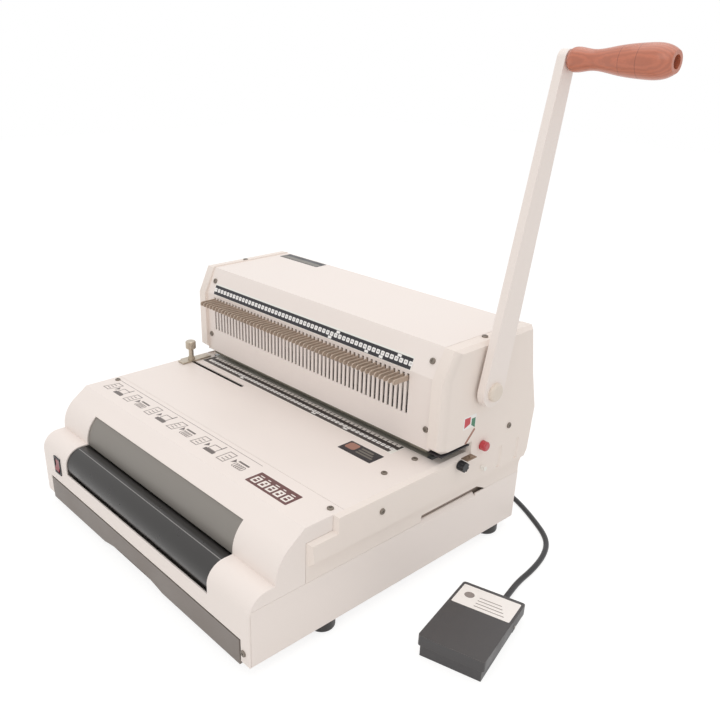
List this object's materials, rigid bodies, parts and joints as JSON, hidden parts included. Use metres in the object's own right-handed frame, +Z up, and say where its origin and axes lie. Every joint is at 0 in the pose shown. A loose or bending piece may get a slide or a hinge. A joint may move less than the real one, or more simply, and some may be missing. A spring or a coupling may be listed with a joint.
{
  "type": "coil_binding_machine",
  "caption": "Desk machine that punches a row of round holes with a side lever and winds a plastic coil through them with a foot-switched roller",
  "frame": {"origin": "centre of the base pan's flat underside", "axes": "+X operator's right (lever side), +Y back, +Z up"},
  "size_m": [0.5404, 0.4855, 0.5067],
  "materials": {
    "case_paint": "fine textured enamel, satin",
    "cover_moulding": "fine moulded grain",
    "liner_paint": "satin enamel",
    "zinc_steel": "zinc plated sheet",
    "dark_steel": "ground and oiled tool steel",
    "bright_steel": "bright ground steel",
    "bronze": "dull bronze strip",
    "nickel": "worn nickel plate",
    "foot_rubber": "moulded black rubber",
    "motor_paint": "dark grey enamel",
    "board": "circuit board with components",
    "black_plastic": "fine moulded grain",
    "white_plastic": "smooth white",
    "red_plastic": "glossy red moulding",
    "drawer_plastic": "fine moulded grain",
    "grip_wood": "reddish brown varnish",
    "pedal_plastic": "dark grey enamel",
    "cord_sheath": "smooth black cable sheath"
  },
  "bodies": {
    "machine": {"base_pan": "case_paint", "front_cover": "case_paint", "top_plate": "case_paint", "trough_liner": "liner_paint", "tower_shell": "case_paint", "rear_panel": "case_paint", "left_side_cover": "cover_moulding", "right_side_cover": "cover_moulding", "left_side_frame": "zinc_steel", "right_side_frame": "zinc_steel", "inner_deck": "zinc_steel", "rubber_feet": "foot_rubber", "die_block": "dark_steel", "stripper_bar": "dark_steel", "ram_guides": "zinc_steel", "plain_bushes": "bronze", "roller_motor": "motor_paint", "drive_belt": "foot_rubber", "control_board": "board", "power_inlet": "black_plastic", "pedal_jack": "black_plastic", "case_screws": "bright_steel", "plate_ruler": "white_plastic", "tower_ruler": "white_plastic", "margin_plate": "zinc_steel", "white_post": "white_plastic", "switch_frame": "black_plastic", "pedal_base": "pedal_plastic", "pedal_pin": "bright_steel", "pedal_switch": "black_plastic", "cord_gland": "cord_sheath", "pedal_cord": "cord_sheath", "cord_coil": "cord_sheath", "cord_plug": "cord_sheath"},
    "handle": {"drive_shaft": "bright_steel", "drive_pinions": "dark_steel", "handle_lever": "case_paint", "lever_bolt": "bright_steel", "grip_bolt": "bright_steel"},
    "grip": {"wooden_grip": "grip_wood"},
    "ram": {"ram_beam": "bright_steel", "punch_holder": "bright_steel", "punch_pins": "bright_steel", "drive_racks": "dark_steel", "return_springs": "bright_steel"},
    "first_tab": {"first_pull_tab": "bronze"},
    "last_tab": {"last_pull_tab": "bronze"},
    "middle_tabs": {"middle_pull_tabs": "bronze"},
    "drawer": {"chip_drawer": "drawer_plastic"},
    "guide": {"edge_guide": "nickel"},
    "thumb_screw": {"guide_thumb_screw": "nickel"},
    "lock": {"lock_knob": "red_plastic"},
    "margin": {"margin_knob": "black_plastic"},
    "stop": {"depth_stop": "dark_steel"},
    "rocker": {"switch_rocker": "red_plastic"},
    "roller": {"inserter_roller": "foot_rubber", "roller_shaft": "bright_steel", "roller_pulley": "black_plastic"},
    "motor_spindle": {"motor_pulley": "bright_steel"},
    "treadle": {"pedal_treadle": "pedal_plastic"}
  },
  "joints": [
    {"name": "handle_hinge", "type": "hinge", "parent": "machine", "child": "handle", "pos_m": [0, 0.102, 0.185], "axis": [1, 0, 0], "range_deg": [0, 90]},
    {"name": "grip_spin", "type": "hinge", "parent": "handle", "child": "grip", "pos_m": [0.216, 0.1555, 0.4808], "axis": [1, 0, 0], "continuous": true},
    {"name": "ram_slide", "type": "slide", "parent": "machine", "child": "ram", "axis": [0, 0, 1], "range_m": [-0.02141, 0], "stiffness_N_per_m": 2500, "springref_m": 0.028, "deforming": ["return_springs"]},
    {"name": "first_tab_pull", "type": "slide", "parent": "ram", "child": "first_tab", "axis": [0, -1, 0], "range_m": [0, 0.008]},
    {"name": "last_tab_pull", "type": "slide", "parent": "ram", "child": "last_tab", "axis": [0, -1, 0], "range_m": [0, 0.008]},
    {"name": "middle_tabs_pull", "type": "slide", "parent": "ram", "child": "middle_tabs", "axis": [0, -1, 0], "range_m": [0, 0.008]},
    {"name": "drawer_slide", "type": "slide", "parent": "machine", "child": "drawer", "axis": [0, -1, 0], "range_m": [0, 0.22]},
    {"name": "edge_guide_slide", "type": "slide", "parent": "machine", "child": "guide", "axis": [1, 0, 0], "range_m": [0, 0.104]},
    {"name": "thumb_screw_turn", "type": "hinge", "parent": "guide", "child": "thumb_screw", "pos_m": [-0.188, 0.0145, 0.13], "axis": [0, 0, 1], "continuous": true},
    {"name": "lock_pull", "type": "slide", "parent": "machine", "child": "lock", "axis": [1, 0, 0], "range_m": [0, 0.005], "stiffness_N_per_m": 300, "springref_m": -0.006},
    {"name": "margin_turn", "type": "hinge", "parent": "machine", "child": "margin", "pos_m": [0.2, 0.0735, 0.1095], "axis": [1, 0, 0], "range_deg": [0, 180]},
    {"name": "stop_slide", "type": "slide", "parent": "machine", "child": "stop", "axis": [0, 1, 0], "range_m": [0, 0.0034]},
    {"name": "switch_tilt", "type": "hinge", "parent": "machine", "child": "rocker", "pos_m": [-0.164, -0.1855, 0.046], "axis": [1, 0, 0], "range_deg": [0, 20]},
    {"name": "roller_spin", "type": "hinge", "parent": "machine", "child": "roller", "pos_m": [0, -0.1685, 0.053], "axis": [1, 0, 0], "continuous": true},
    {"name": "motor_spin", "type": "hinge", "parent": "machine", "child": "motor_spindle", "pos_m": [-0.15, -0.108, 0.062], "axis": [1, 0, 0], "continuous": true},
    {"name": "treadle_press", "type": "hinge", "parent": "machine", "child": "treadle", "pos_m": [0.28454, 0.02468, -0.002], "axis": [0.965, 0.2622, 0], "range_deg": [0, 4], "stiffness_Nm_per_rad": 1, "springref_deg": -6.88}
  ],
  "couplings": [
    {"joint": "ram_slide", "follows": "handle_hinge", "m_per_rad": -0.0135},
    {"joint": "margin_turn", "follows": "stop_slide", "rad_per_m": 920},
    {"joint": "motor_spin", "follows": "roller_spin", "ratio": 1.5}
  ]
}
